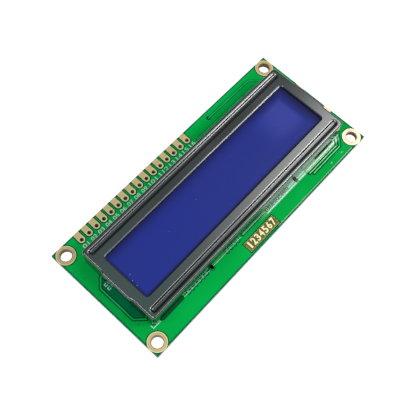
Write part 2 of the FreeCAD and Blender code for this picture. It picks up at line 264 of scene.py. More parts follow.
def newMaterial(name):
    material = bpy.data.materials.new(name)
    material.use_nodes = True
    tree = material.node_tree
    tree.nodes.clear()
    output = tree.nodes.new("ShaderNodeOutputMaterial")
    shader = tree.nodes.new("ShaderNodeBsdfPrincipled")
    tree.links.new(shader.outputs[0], output.inputs["Surface"])
    return material, tree, shader


def addGroup(tree, group, values):
    node = tree.nodes.new("ShaderNodeGroup")
    node.node_tree = group
    for label, value in values.items():
        socket = node.inputs[label]
        socket.default_value = tuple(value) + (1.0,) if isinstance(value, tuple) else value
    return node


def addFinish(tree, look):       # the finish group with the values of this look
    return addGroup(tree, finishGroup, {
        "Color": look["colour"], "Shade": look["shade"], "Cloud Size": look.get("cloud", 0.2),
        "Grain Size": look.get("grainSize", 6.0), "Grain": look.get("grain", 0.2),
        "Smoothest": look["rough"][0], "Roughest": look["rough"][1],
    })


def dressShader(tree, shader, node, colour, look):   # colour, roughness, bump and the shader's own values
    tree.links.new(colour, shader.inputs["Base Color"])
    tree.links.new(node.outputs["Roughness"], shader.inputs["Roughness"])
    bump = tree.nodes.new("ShaderNodeBump")
    bump.inputs["Strength"].default_value = look.get("bump", 0.2)
    bump.inputs["Distance"].default_value = look.get("depth", 0.02) * mm
    tree.links.new(node.outputs["Height"], bump.inputs["Height"])
    tree.links.new(bump.outputs["Normal"], shader.inputs["Normal"])
    for label, value in look.get("shader", {}).items():
        shader.inputs[label].default_value = value


def glossByWall(tree, shader):
    tree.links.new(addGroup(tree, byWallGroup, {}).outputs["Mask"], shader.inputs["Coat Weight"])


def plainFinish(name, look, byWall=False):
    material, tree, shader = newMaterial(name)
    node = addFinish(tree, look)
    dressShader(tree, shader, node, node.outputs["Color"], look)
    if byWall:
        glossByWall(tree, shader)
    return material


# A whole finish in one dictionary: colours, grain, roughness and the shader's own values
finishes = {
    "clearGlass": dict(colour=(0.80, 0.92, 0.90), shade=(0.74, 0.88, 0.86), rough=(0.03, 0.06), bump=0.02,
                       shader={"Transmission Weight": 0.85, "IOR": 1.5}),
    "greyFilm": dict(colour=(0.16, 0.17, 0.20), shade=(0.13, 0.14, 0.17), rough=(0.35, 0.5), bump=0.1),
    "curedSealant": dict(colour=(0.52, 0.47, 0.36), shade=(0.42, 0.37, 0.27), cloud=1.2, rough=(0.4, 0.6),
                         bump=0.4),
    "elasticStrip": dict(colour=(0.62, 0.63, 0.65), shade=(0.46, 0.47, 0.50), cloud=0.8, rough=(0.55, 0.75),
                         bump=0.3),
    "trayWhite": dict(colour=(0.78, 0.78, 0.75), shade=(0.70, 0.70, 0.66), cloud=0.4, rough=(0.4, 0.55),
                      bump=0.15),
    "clearAcrylic": dict(colour=(0.86, 0.90, 0.92), shade=(0.80, 0.86, 0.90), rough=(0.08, 0.14), bump=0.05,
                         shader={"Transmission Weight": 0.7, "IOR": 1.49}),
    "whiteFilm": dict(colour=(0.82, 0.82, 0.82), shade=(0.75, 0.75, 0.76), rough=(0.45, 0.6), bump=0.1),
    "lampStrip": dict(colour=(0.72, 0.72, 0.70), shade=(0.62, 0.62, 0.58), rough=(0.35, 0.5), bump=0.15),
    "lampBody": dict(colour=(0.80, 0.72, 0.32), shade=(0.72, 0.60, 0.22), cloud=1.5, rough=(0.3, 0.5)),
    "brightTin": dict(colour=(0.62, 0.61, 0.58), shade=(0.48, 0.47, 0.45), cloud=1.2, grainSize=4.0,
                      grain=0.3, rough=(0.22, 0.42), bump=0.3, shader={"Metallic": 0.85}),
    "pouredResin": dict(colour=(0.012, 0.012, 0.013), shade=(0.022, 0.022, 0.022), cloud=0.25, grainSize=1.6,
                        grain=0.4, rough=(0.22, 0.4), bump=0.35, depth=0.06),
    "chipBlack": dict(colour=(0.02, 0.02, 0.022), shade=(0.035, 0.035, 0.036), cloud=1.5, rough=(0.3, 0.5)),
    "chipTan": dict(colour=(0.36, 0.24, 0.13), shade=(0.28, 0.18, 0.10), cloud=1.5, rough=(0.45, 0.6),
                    bump=0.25),
    "markGround": dict(colour=(0.15, 0.142, 0.018), shade=(0.11, 0.10, 0.012), cloud=1.0, grain=0.3,
                       rough=(0.5, 0.65), bump=0.3, shader={"Specular IOR Level": 0.15}),
    "markShade": dict(colour=(0.075, 0.057, 0.008), shade=(0.055, 0.04, 0.006), cloud=1.2, rough=(0.5, 0.65),
                      shader={"Specular IOR Level": 0.15}),
    # painted highlight on the marking field's two lit sides
    "markRimHighlight": dict(colour=(0.30, 0.32, 0.06), shade=(0.22, 0.26, 0.05), cloud=1.2, rough=(0.4, 0.6)),
    "printInk": dict(colour=(0.46, 0.90, 0.74), shade=(0.36, 0.78, 0.60), cloud=1.2, rough=(0.5, 0.65),
                     shader={"Coat Weight": 0.6, "Coat IOR": 2.3, "Coat Roughness": 0.2}),
    "markInk": dict(colour=(0.90, 0.86, 0.52), shade=(0.80, 0.74, 0.38), cloud=1.2, rough=(0.45, 0.6)),
    "holeShade": dict(colour=(0.012, 0.03, 0.018), shade=(0.006, 0.012, 0.008), cloud=1.2, rough=(0.6, 0.8),
                      shader={"Specular IOR Level": 0.1}),
    "dustGrey": dict(colour=(0.55, 0.58, 0.72), shade=(0.42, 0.45, 0.58), cloud=3.0, rough=(0.7, 0.9),
                     bump=0.3),
}
made = {name: plainFinish(name, look) for name, look in finishes.items()}
print("finishes made:", len(made))


def lacquerLook(colour, shade):  # every lacquer but for its colours
    return dict(colour=colour, shade=shade, cloud=0.12, grainSize=9.0, grain=0.12, rough=(0.30, 0.40),
                bump=0.12, depth=0.01,
                shader={"Specular IOR Level": 0.02, "Coat Roughness": 0.20, "Coat IOR": 2.7})


lacquer = {
    "overFoil": lacquerLook((0.0, 0.385, 0.058), (0.0, 0.345, 0.050)),
    "margin": dict(colour=(0.0, 0.165, 0.060), shade=(0.0, 0.130, 0.048), cloud=0.3, grainSize=9.0,
                   grain=0.15, rough=(0.42, 0.52)),
    "laminate": dict(colour=(0.58, 0.74, 0.56), shade=(0.44, 0.62, 0.42), cloud=1.6, grainSize=14.0,
                     grain=0.5, rough=(0.6, 0.8)),
    # painted shade: the barrel darkens towards the back of the board
    "barrel": (0.42, 0.30, 0.18), "barrelPaintedShade": (0.14, 0.09, 0.05), "slotPaintedShade": (0.02, 0.03, 0.02),
    "inset": 0.4,                # dark margin between the foil and the board's edge
    "mountReach": 1.612, "rowReach": 0.632,      # walls nearer than this to an axis are plated
    "slotInset": 4.2,            # walls further in than this are those of slots, painted near black as shade
}
lacquerColours = {
    # painted highlight colour, for glints and glare
    "paintedGlintLacquer": ((0.74, 0.90, 0.70), (0.46, 0.80, 0.50)),
    "lacquerBare": ((0.0, 0.165, 0.060), (0.0, 0.130, 0.048)),
    "lacquerGap": ((0.0, 0.062, 0.026), (0.0, 0.045, 0.020)),
    "lacquerBead": ((0.02, 0.46, 0.14), (0.0, 0.385, 0.058)),
}


def boardFinish():               # lacquer on both faces, laminate at the cut edges, plating in the holes, with painted shade deep in the holes and on the slot walls
    material, tree, shader = newMaterial("boardLacquer")
    x, y, z = millimetres(tree)[1:]
    green, dark, cut = [addFinish(tree, lacquer[name]) for name in ("overFoil", "margin", "laminate")]
    endGap = less(tree, board["halfX"], unsigned(tree, x))
    sideGap = less(tree, board["halfY"], unsigned(tree, y))
    edgeGap = mathNode(tree, "MINIMUM", endGap, sideGap)
    faceColour = mixColour(tree, below(tree, edgeGap, lacquer["inset"]), green.outputs["Color"],
                           dark.outputs["Color"])
    inHole = most(tree, below(tree, fromMount(tree, x, y), lacquer["mountReach"]),
                  below(tree, fromRow(tree, x, y), lacquer["rowReach"]))
    barrel = mixColour(tree, ramp(tree, z, back, face), lacquer["barrelPaintedShade"], lacquer["barrel"])
    wallColour = mixColour(tree, inHole, cut.outputs["Color"], barrel)
    # painted shade: slot walls are coloured near black
    inSlot = times(tree, above(tree, edgeGap, lacquer["slotInset"]), below(tree, x, 0.0))
    wallColour = mixColour(tree, inSlot, wallColour, lacquer["slotPaintedShade"])
    normal = tree.nodes.new("ShaderNodeNewGeometry").outputs["Normal"]
    flat = above(tree, unsigned(tree, parted(tree, normal)[2]), 0.5)
    dressShader(tree, shader, green, mixColour(tree, flat, wallColour, faceColour), lacquer["overFoil"])
    glossByWall(tree, shader)
    return material


made["boardLacquer"] = boardFinish()
for name, (colour, shade) in lacquerColours.items():
    made[name] = plainFinish(name, lacquerLook(colour, shade), byWall=True)


gold = {
    "look": dict(colour=(0.74, 0.57, 0.27), shade=(0.66, 0.50, 0.22), cloud=0.5, grainSize=5.0, grain=0.3,
                 rough=(0.24, 0.36), bump=0.25, depth=0.015,
                 shader={"Metallic": 0.6, "Coat Roughness": 0.25, "Coat IOR": 2.2}),
    # painted sheen: the lighter colour of the rounded rims and round ends, and the darker colour by the holes
    "paintedSheen": (0.90, 0.80, 0.52), "dark": (0.34, 0.22, 0.09),
    "hole": (1.56, 1.86), "groove": (1.95, 2.1, 2.1, 2.25), "grooveDark": 0.35, "rim": (2.28, 2.42),
    "corner": 2.6,               # all of these are distances from a mounting hole's axis
    "rowRimSheen": (0.66, 0.84), "rowAbove": 14.0, "rowHalf": 33.4, "roundBelow": 16.5, "roundEndSheen": 0.3,
    "bright": ("lower_right_land", "backlight_lands"),
}


def goldFinish(name, coat):      # darker by the mounting holes, with painted sheen: a lighter colour painted at the rounded rims and round ends
    material, tree, shader = newMaterial(name)
    node = addFinish(tree, gold["look"])
    x, y = millimetres(tree)[1:3]
    far = fromMount(tree, x, y)
    isCorner = below(tree, far, gold["corner"])
    atHole = less(tree, 1.0, ramp(tree, far, *gold["hole"]))
    groove = times(tree, window(tree, far, gold["groove"]), gold["grooveDark"])
    outerRimSheen = times(tree, ramp(tree, far, *gold["rim"]), isCorner)
    inRow = times(tree, above(tree, y, gold["rowAbove"]), below(tree, unsigned(tree, x), gold["rowHalf"]))
    roundEnd = times(tree, below(tree, y, gold["roundBelow"]), inRow)
    rowRimSheen = times(tree, ramp(tree, fromRow(tree, x, y, straight=True), *gold["rowRimSheen"]), roundEnd)
    paintedSheen = most(tree, most(tree, outerRimSheen, rowRimSheen), times(tree, roundEnd, gold["roundEndSheen"]))
    dark = times(tree, most(tree, atHole, groove), isCorner)
    colour = mixColour(tree, paintedSheen, node.outputs["Color"], gold["paintedSheen"])
    dressShader(tree, shader, node, mixColour(tree, dark, colour, gold["dark"]), gold["look"])
    shader.inputs["Coat Weight"].default_value = coat
    return material


enamel = {
    "look": dict(colour=(0.006, 0.009, 0.008), shade=(0.010, 0.013, 0.012), cloud=0.08, grainSize=7.0,
                 grain=0.25, rough=(0.11, 0.14), bump=0.01, depth=0.006, shader={"IOR": 2.1}),
    "dust": (0.30, 0.31, 0.30), "flecks": {"Spacing": 3.2, "Spot": 0.04, "Share": 0.10},
}


def enamelFinish():
    material, tree, shader = newMaterial("blackEnamel")
    node = addFinish(tree, enamel["look"])
    flecks = addGroup(tree, flecksGroup, enamel["flecks"])
    colour = mixColour(tree, flecks.outputs["Mask"], node.outputs["Color"], enamel["dust"])
    dressShader(tree, shader, node, colour, enamel["look"])
    return material


screen = {
    "look": dict(colour=(0.017, 0.029, 0.230), shade=(0.021, 0.031, 0.204), cloud=0.035, grainSize=12.0,
                 grain=0.10, rough=(0.22, 0.30), bump=0.05, depth=0.01, shader={"Specular IOR Level": 0.08}),
    # painted shade: a dark colour painted along the screen's sides, where the rim's shade falls
    "edge": (0.010, 0.010, 0.050), "paintedShadeShare": 0.95, "halfX": 32.5, "halfY": 7.0, "rightFrom": 28.8,
    "wide": 3.6, "thin": 1.1,    # reach of the painted rim shade at the upper side, and at the left and lower sides
    # painted glow: a lighter patch painted at the right of the screen, as a painted highlight
    "glow": (0.052, 0.066, 0.350), "paintedGlowShare": 0.55,
    "glowX": (16.0, 25.0, 28.5, 29.8), "glowY": (-6.3, -1.3, 3.3, 5.6),
}


def screenFinish():              # painted shade and glow: the image plane lies below the film, so the rim's shade is painted along its sides, and a lighter patch is painted at the right
    material, tree, shader = newMaterial("screenBlue")
    node = addFinish(tree, screen["look"])
    wide, thin = [addGroup(tree, nearEdgeGroup, {"Half X": screen["halfX"], "Half Y": screen["halfY"],
                                                 "Middle Y": displayY, "Reach": screen[reach]})
                  for reach in ("wide", "thin")]
    x, y = millimetres(tree)[1:3]
    glow = times(tree, window(tree, x, screen["glowX"]), window(tree, y, screen["glowY"]))
    body = mixColour(tree, times(tree, glow, screen["paintedGlowShare"]), node.outputs["Color"], screen["glow"])
    shade = most(tree, ramp(tree, x, screen["rightFrom"], screen["halfX"]), wide.outputs["Upper"])
    shade = most(tree, shade, most(tree, thin.outputs["Left"], thin.outputs["Lower"]))
    colour = mixColour(tree, times(tree, shade, screen["paintedShadeShare"]), body, screen["edge"])
    dressShader(tree, shader, node, colour, screen["look"])
    return material


made["goldPlate"] = goldFinish("goldPlate", 0.0)
made["goldBright"] = goldFinish("goldBright", 0.9)
made["blackEnamel"] = enamelFinish()
made["screenBlue"] = screenFinish()

slotFinish = {
    "circuit_board": "boardLacquer", "gold": "goldPlate", "bezel_black": "blackEnamel",
    "screen_blue": "screenBlue", "glass": "clearGlass", "film_grey": "greyFilm", "sealant": "curedSealant",
    "strip_rubber": "elasticStrip", "tray_white": "trayWhite", "acrylic": "clearAcrylic",
    "film_white": "whiteFilm", "led_board": "lampStrip", "led": "lampBody", "tin": "brightTin",
    "resin_black": "pouredResin", "chip_black": "chipBlack", "chip_tan": "chipTan",
}
for part in frame["record"]["subparts"]:
    look = "goldBright" if part["node"] in gold["bright"] else slotFinish[part["material_slot"]]
    dressed = nodes[part["node"]].data.materials
    dressed.clear()
    dressed.append(made[look])
print("nodes dressed")


def joinMeshes(name, meshes, material):
    merged = bmesh.new()
    for mesh in meshes:
        merged.from_mesh(mesh)
        bpy.data.meshes.remove(mesh)
    data = bpy.data.meshes.new(name)
    merged.to_mesh(data)
    merged.free()
    piece = bpy.data.objects.new(name, data)
    bpy.context.scene.collection.objects.link(piece)
    data.materials.clear()
    data.materials.append(made[material])
    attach(piece, "root")


def curveMesh(curve):
    holder = bpy.data.objects.new("shape", curve)
    bpy.context.scene.collection.objects.link(holder)
    bpy.context.view_layer.update()
    graph = bpy.context.evaluated_depsgraph_get()
    mesh = bpy.data.meshes.new_from_object(holder.evaluated_get(graph))
    bpy.data.objects.remove(holder)
    bpy.data.curves.remove(curve)
    return mesh


def addPath(curve, points, z, closed):       # points in mm
    spline = curve.splines.new("POLY")
    spline.points.add(len(points) - 1)
    for point, (x, y) in zip(spline.points, points):
        point.co = (x * mm, y * mm, z * mm, 1)
    spline.use_cyclic_u = closed


def flatMesh(loops, low, high, edge=0.0):    # a thin plate of this outline, in mm, with softened edges
    curve = bpy.data.curves.new("shape", "CURVE")
    curve.dimensions = "2D"
    curve.fill_mode = "BOTH"
    curve.extrude = ((high - low) / 2 - edge) * mm
    curve.bevel_depth = edge * mm
    curve.bevel_resolution = 1 if edge else 0
    curve.offset = -edge * mm
    for loop in loops:
        addPath(curve, loop, 0, True)
    mesh = curveMesh(curve)
    mesh.transform(Matrix.Translation((0, 0, (low + high) / 2 * mm)))
    return mesh


def beadMesh(points, z, radius, closed=False):
    curve = bpy.data.curves.new("shape", "CURVE")
    curve.dimensions = "3D"
    curve.bevel_depth = radius * mm
    curve.bevel_resolution = 2
    curve.use_fill_caps = not closed
    addPath(curve, points, z, closed)
    return curveMesh(curve)


def ring(x, y, radius, count):
    turn = 2 * math.pi / count
    return [(x + radius * math.cos(turn * i), y + radius * math.sin(turn * i)) for i in range(count)]


def washer(x, y, outer, inner, count, innerCount):
    return [ring(x, y, outer, count), ring(x, y, inner, innerCount)]


def oblong(x0, y0, x1, y1, grow=0.0):        # grow moves each side outward
    return [(x0 - grow, y0 - grow), (x1 + grow, y0 - grow), (x1 + grow, y1 + grow), (x0 - grow, y1 + grow)]


def sidePath(points, shift):                 # the same path, moved sideways; sharp corners are held in
    loop = []
    spots = [Vector(p) for p in points]
    for i, spot in enumerate(spots):
        ways = []
        if i > 0:
            ways.append((spot - spots[i - 1]).normalized())
        if i < len(spots) - 1:
            ways.append((spots[i + 1] - spot).normalized())
        along = sum(ways, Vector((0, 0))).normalized()
        across = Vector((-along.y, along.x))
        reach = shift / max(0.4, across.dot(Vector((-ways[0].y, ways[0].x))))
        loop.append((spot.x + across.x * reach, spot.y + across.y * reach))
    return loop


def band(points, half, count=8):             # outline of a track of even width with round ends
    def cap(middle, before):
        start = math.atan2(middle[1] - before[1], middle[0] - before[0]) + math.pi / 2
        turns = [start - math.pi * i / count for i in range(1, count)]
        return [(middle[0] + half * math.cos(a), middle[1] + half * math.sin(a)) for a in turns]

    left, right = sidePath(points, half), sidePath(points, -half)
    return left + cap(points[-1], points[-2]) + right[::-1] + cap(points[0], points[1])


def bothSigns(x, y):
    return [(i * x, j * y) for i in (-1, 1) for j in (-1, 1)]


foil = {                         # the foil under the lacquer
    "gap": 0.3, "trackWidth": 0.38, "dark": 0.006, "raised": 0.035, "soft": 0.012, "hair": 0.01,
    "mounts": bothSigns(board["mountX"], board["mountY"]), "mountHoleR": 1.5, "mountR": 2.5,
    "header": [(board["firstX"] + board["pitch"] * i, board["rowY"]) for i in range(board["count"])],
    "headerHoleR": 0.5, "headerR": 0.875,
    "mark": (-5.4, -17.15, 5.4, -14.45),
    "leftTrack": [(-35.2, 5.75), (-37.55, 3.4), (-37.55, -7.6), (-35.2, -9.95)],
    "fieldEnds": ((-34.6, 6.2), (-34.6, -10.4)),
    "tracks": [
        [(22.1, -14.95), (33.1, -14.95), (37.2, -10.85), (37.2, -5.45)],
        [(21.3, -14.2), (32.7, -14.2), (36.4, -10.5), (36.4, -9.2), (34.9, -7.7)],
        [(21.0, -13.5), (32.4, -13.5), (34.9, -11.0)],
    ],
    "upperTracks": [
        [(15.05, 16.05), (31.2, 16.05), (34.0, 13.25), (34.4, 12.0)],
        [(8.3, 13.9), (30.6, 13.9), (32.6, 11.9)],
    ],
    "upperGap": 0.17, "endVia": (15.05, 16.05), "endViaR": 0.6,
    "slot": [(-3.8, -12.75), (4.0, -12.75)], "slotWidth": 0.34,
    "pocket": [(-33.0, -12.2), (-33.0, -12.85), (-32.6, -13.08), (-25.7, -13.08), (-25.3, -12.85),
               (-25.3, -12.2)],
    "well": [(-32.7, -12.2), (-32.7, -12.8), (-32.5, -12.92), (-25.8, -12.92), (-25.6, -12.8),
             (-25.6, -12.2)],
}
vias = {                         # small holes, and the domes over filled ones, with the height of each; the dark discs in the holes and the dark lines are painted shade
    "rows": ((-23.66, 1.29, 6, -12.72), (-9.58, 1.36, 4, -12.72), (5.84, 1.27, 7, -12.66)),
    "r": 0.34, "gap": 0.26, "holeR": 0.14, "high": 0.04, "soft": 0.015, "holeHigh": 0.012,
    "domes": [(-38.3, 8.0), (-37.6, -9.2), (27.7, -16.2), (32.1, -16.2)], "domeR": 0.2, "domeHigh": 0.05,
    "domeSoft": 0.02, "domeHoleR": 0.14, "domeHoleHigh": 0.055,
    "tooling": [(-15.2, -12.7), (17.4, -12.7)], "toolingR": 0.55, "toolingGap": 0.28, "rim": 0.12,
    "rimHigh": 0.03,
    "shadeLines": [([(25.6, -12.58), (30.9, -12.58)], 0.12), ([(-32.4, -12.72), (-25.9, -12.72)], 0.11)],
    "shadeLineHigh": 0.05,
}
viaPlaces = [(x + step * i, y) for x, step, count, y in vias["rows"] for i in range(count)]


def inBoard(loop):               # kept a hair inside the board's outline
    halfX, halfY = board["halfX"] - foil["hair"], board["halfY"] - foil["hair"]
    return [(max(-halfX, min(halfX, x)), max(-halfY, min(halfY, y))) for x, y in loop]


def headerLoop(x, y, r):         # round about the hole and straight out to the board's edge
    turns = [math.pi + math.pi * i / 12 for i in range(13)]
    outer = board["halfY"] - foil["hair"]
    return [(x - r, outer)] + [(x + r * math.cos(a), y + r * math.sin(a)) for a in turns] + [(x + r, outer)]


def etchedClearings():           # where the foil is etched away, a hair above the board's own face
    gap, half = foil["gap"], foil["trackWidth"] / 2
    shapes = [[inBoard(ring(x, y, foil["mountR"] + gap, 48)), ring(x, y, foil["mountHoleR"], 40)]
              for x, y in foil["mounts"]]
    shapes += [[headerLoop(x, y, foil["headerR"] + gap), ring(x, y, foil["headerHoleR"], 24)]
               for x, y in foil["header"]]
    shapes += [[band(path, half + gap)] for path in foil["tracks"] + [foil["leftTrack"]]]
    shapes += [[band(path, half + foil["upperGap"])] for path in foil["upperTracks"]]
    shapes.append([band(foil["slot"], foil["slotWidth"] / 2)])
    shapes += [[ring(x, y, vias["r"] + vias["gap"], 24)] for x, y in viaPlaces]
    shapes.append([ring(*foil["endVia"], foil["endViaR"], 20)])
    shapes += [washer(x, y, vias["toolingR"] + vias["toolingGap"], vias["toolingR"], 28, 28)
               for x, y in vias["tooling"]]
    shapes += [[oblong(*foil["mark"], gap)], [foil["pocket"]]]
    meshes = [flatMesh(loops, face, face + foil["dark"]) for loops in shapes]
    joinMeshes("etched_clearings", meshes, "lacquerGap")


def bareFields():                # no foil between the left track and the bezel, nor inside the pocket
    first, last = foil["fieldEnds"]
    field = [first] + foil["leftTrack"] + [last]
    meshes = [flatMesh([loop], face, face + foil["dark"] * share)
              for loop, share in ((field, 0.6), (foil["well"], 1.4))]     # under the clearings, and over them
    joinMeshes("bare_fields", meshes, "lacquerBare")


def lacqueredTracks():
    paths = foil["tracks"] + foil["upperTracks"] + [foil["leftTrack"]]
    meshes = [flatMesh([band(path, foil["trackWidth"] / 2)], face, face + foil["raised"], foil["soft"])
              for path in paths]
    joinMeshes("lacquered_tracks", meshes, "lacquerBead")


def lacqueredVias():
    wall, ringTop, rimTop = vias["toolingR"], face + vias["high"], face + vias["rimHigh"]
    meshes = [flatMesh(washer(x, y, vias["r"], vias["holeR"], 20, 12), face, ringTop, vias["soft"])
              for x, y in viaPlaces]
    meshes += [flatMesh([ring(x, y, vias["domeR"], 14)], face, face + vias["domeHigh"], vias["domeSoft"])
               for x, y in vias["domes"]]
    meshes += [flatMesh(washer(x, y, wall + vias["rim"], wall, 28, 28), face, rimTop, foil["soft"])
               for x, y in vias["tooling"]]
    joinMeshes("lacquered_vias", meshes, "lacquerBead")


def viaHoleShade():
    # painted shade: dark discs in the via and dome holes, and dark lines beside the bezel's lower wall
    shapes = [(ring(x, y, vias["holeR"], 12), vias["holeHigh"]) for x, y in viaPlaces]
    shapes += [(ring(x, y, vias["domeHoleR"], 10), vias["domeHoleHigh"]) for x, y in vias["domes"]]
    shapes += [(band(shadeLine, half), vias["shadeLineHigh"]) for shadeLine, half in vias["shadeLines"]]
    meshes = [flatMesh([loop], face, face + high) for loop, high in shapes]
    joinMeshes("via_hole_shade", meshes, "holeShade")


beads = {                        # lacquer piled along the foil's edges
    "r": 0.04, "z": 0.002, "trackShare": 0.7, "mountShare": 0.8,
    "x": board["halfX"] - lacquer["inset"] - 0.05, "y": board["halfY"] - lacquer["inset"] - 0.05,
    "endY": 12.4, "lowerX": (-34.6, 4.5), "upperX": (10.2, 34.6),
    "mountX": 39.6, "mountY": 17.6,          # the beads round the mounting holes stop here
}


def lacquerBeads():
    r, z, sideX = beads["r"], face + beads["z"], beads["x"]
    gap = foil["trackWidth"] / 2 + foil["gap"]
    runs = [[(x, -beads["y"]) for x in beads["lowerX"]], [(x, beads["y"]) for x in beads["upperX"]]]
    runs += [[(x, -beads["endY"]), (x, beads["endY"])] for x in (-sideX, sideX)]
    meshes = [beadMesh(run, z, r) for run in runs]
    meshes += [beadMesh(sidePath(path, side * gap), z, r * beads["trackShare"])
               for path in foil["tracks"] for side in (-1, 1)]
    meshes.append(beadMesh(sidePath(foil["leftTrack"], -gap), z, r))
    for x, y in foil["mounts"]:
        loop = [p for p in ring(x, y, foil["mountR"] + foil["gap"], 48)
                if abs(p[0]) < beads["mountX"] and abs(p[1]) < beads["mountY"]]
        start = max(range(len(loop)), key=lambda i: (Vector(loop[i]) - Vector(loop[i - 1])).length)
        meshes.append(beadMesh(loop[start:] + loop[:start], z, r * beads["mountShare"]))
    joinMeshes("lacquer_beads", meshes, "lacquerBead")


paintedSheen = {                         # painted glints: pale lacquer painted along the lower right as highlights and glare
    "edgeX": (4.5, 35.0), "edgeR": 0.045, "trackR": 0.07,
    "tracks": [[(22.2, -14.93), (33.0, -14.93)], [(21.4, -14.18), (32.6, -14.18)],
               [(21.3, -13.6), (32.2, -13.6)]],
    "run": [(21.3, -13.08), (32.9, -13.08)], "runHalf": 0.15, "runHigh": 0.045,
    "domeR": 0.08, "domeZ": 0.03, "dome": [(-0.3, -0.2), (0.3, -0.2)],
    "arcR": 0.05, "arc": [(-0.22, 0.24), (0.0, 0.32), (0.22, 0.24)],
    "viaR": 0.06, "viaInset": 0.02,
}


def shifted(points, x, y):
    return [(x + dx, y + dy) for dx, dy in points]


def paintedGlintRidges():
    # painted highlight: every piece here is pale lacquer standing in for glints and glare
    high = face + foil["raised"]
    meshes = [beadMesh([(x, -beads["y"]) for x in paintedSheen["edgeX"]], face + beads["z"], paintedSheen["edgeR"])]
    meshes += [beadMesh(path, high, paintedSheen["trackR"]) for path in paintedSheen["tracks"]]
    meshes += [beadMesh(shifted(paintedSheen["dome"], x, y), face + paintedSheen["domeZ"], paintedSheen["domeR"])
               for x, y in vias["domes"] if x > 0]
    for x, y in viaPlaces:       # whole rings at the right, short arcs at the left
        if x > 0:
            meshes.append(beadMesh(ring(x, y, vias["r"] - paintedSheen["viaInset"], 16), high, paintedSheen["viaR"], True))
        else:
            meshes.append(beadMesh(shifted(paintedSheen["arc"], x, y), high, paintedSheen["arcR"]))
    meshes.append(flatMesh([band(paintedSheen["run"], paintedSheen["runHalf"])], face, face + paintedSheen["runHigh"], foil["soft"]))
    joinMeshes("painted_glint_ridges", meshes, "paintedGlintLacquer")


behind = {                       # foil and print on the back, round the caps and the chip parts
    "capX": (-16.0, 18.0), "capY": -2.0, "capR": 6.4, "ringR": 7.5, "printWidth": 0.16,
    "columns": (-2.6, 1.0, 4.6), "rows": (6.2, 3.4, 0.6, -5.0), "padX": 1.15, "pad": (0.55, 0.8),
    "frame": (1.95, 1.15), "endPitch": 1.15, "lane": 7.9, "lanePitch": 0.34, "half": 0.11,
    "header": ((1, 2, 3, 4, 5, 7), (8, 9, 10, 11, 12, 13, 14, 15)),      # which holes each driver uses
    "end": (-21.4, 13.9), "thick": 0.03, "printThick": 0.05, "holeGap": (0.05, 0.02),
    "bend": 0.5, "leave": 0.8,
}
chipPlaces = [(x, y) for x in behind["columns"] for y in behind["rows"]]


def backLands():                 # rings round the plated holes and lands under the chip parts
    low = back - behind["thick"]
    halfX, halfY = behind["pad"]
    mountGap, rowGap = behind["holeGap"]
    shapes = [washer(x, y, foil["mountR"], foil["mountHoleR"] + mountGap, 40, 32) for x, y in foil["mounts"]]
    shapes += [washer(x, y, foil["headerR"], foil["headerHoleR"] + rowGap, 24, 20) for x, y in foil["header"]]
    for x, y in chipPlaces:
        for middle in (x - behind["padX"], x + behind["padX"]):
            shapes.append([oblong(middle - halfX, y - halfY, middle + halfX, y + halfY)])
    joinMeshes("back_lands", [flatMesh(loops, low, back) for loops in shapes], "goldPlate")


def backTracks():                # from the header's holes, along the lanes, to the drivers under their caps
    low, bend, meshes = back - behind["thick"], behind["bend"], []
    for capX, chosen, start in zip(behind["capX"], behind["header"], behind["end"]):
        for i in chosen:
            x, y = foil["header"][i]
            end = start + behind["endPitch"] * (i - chosen[0])
            lane = behind["lane"] + behind["lanePitch"] * (i - chosen[0])
            capSide = behind["capY"] + math.sqrt(behind["capR"] ** 2 - (end - capX) ** 2)
            cut = math.copysign(bend, end - x)
            path = [(x, y - behind["leave"]), (x, lane + bend), (x + cut, lane), (end - cut, lane),
                    (end, lane - bend), (end, capSide)]
            meshes.append(flatMesh([band(path, behind["half"], 4)], low, back))
    meshes += [flatMesh(washer(x, y, vias["r"], vias["holeR"], 20, 12), low, back) for x, y in viaPlaces]
    joinMeshes("back_tracks", meshes, "lacquerBead")


def backPrint():                 # a ring round each cap and a frame round each chip part
    width, outer = behind["printWidth"], behind["ringR"]
    halfX, halfY = behind["frame"]
    shapes = [washer(x, behind["capY"], outer, outer - width, 64, 64) for x in behind["capX"]]
    shapes += [[oblong(x - halfX, y - halfY, x + halfX, y + halfY, grow) for grow in (0.0, -width)]
               for x, y in chipPlaces]
    meshes = [flatMesh(loops, back - behind["printThick"], back) for loops in shapes]
    joinMeshes("back_print", meshes, "printInk")


etchedClearings()
bareFields()
lacqueredTracks()
lacqueredVias()
viaHoleShade()
lacquerBeads()
paintedGlintRidges()
backLands()
backTracks()
backPrint()
print("foil relief made")


inkPrint = {
    "thick": 0.02, "numberY": 13.85, "numberHeight": 1.15, "numberWidth": 1.75, "numberWeight": -0.005,
    "faint": 0.10, "line": 0.16, "broad": 0.30,
    "runs": {                    # outline round the bezel's foot, by width
        "faint": [[(-25.2, -12.73), (-16.2, -12.73)], [(-14.6, -12.63), (-4.4, -12.63)],
                  [(-3.6, -12.58), (5.0, -12.58)]],
        "line": [[(-35.75, -11.73), (-35.75, -12.63), (-33.4, -12.63)], [(33.0, -12.53), (35.45, -12.53)]],
        # broad: partly print and partly painted glare, pale runs widened beside the bezel's lower wall
        "broad": [[(14.4, -12.61), (16.6, -12.61)], [(18.0, -12.61), (20.6, -12.61)],
                  [(5.2, -13.3), (16.7, -13.3)], [(17.9, -13.3), (20.6, -13.3)]],
    },
    "partsY": (3.15, 1.95), "partX": (-35.75, -36.35), "partHalf": 0.3,     # inside the left track
}


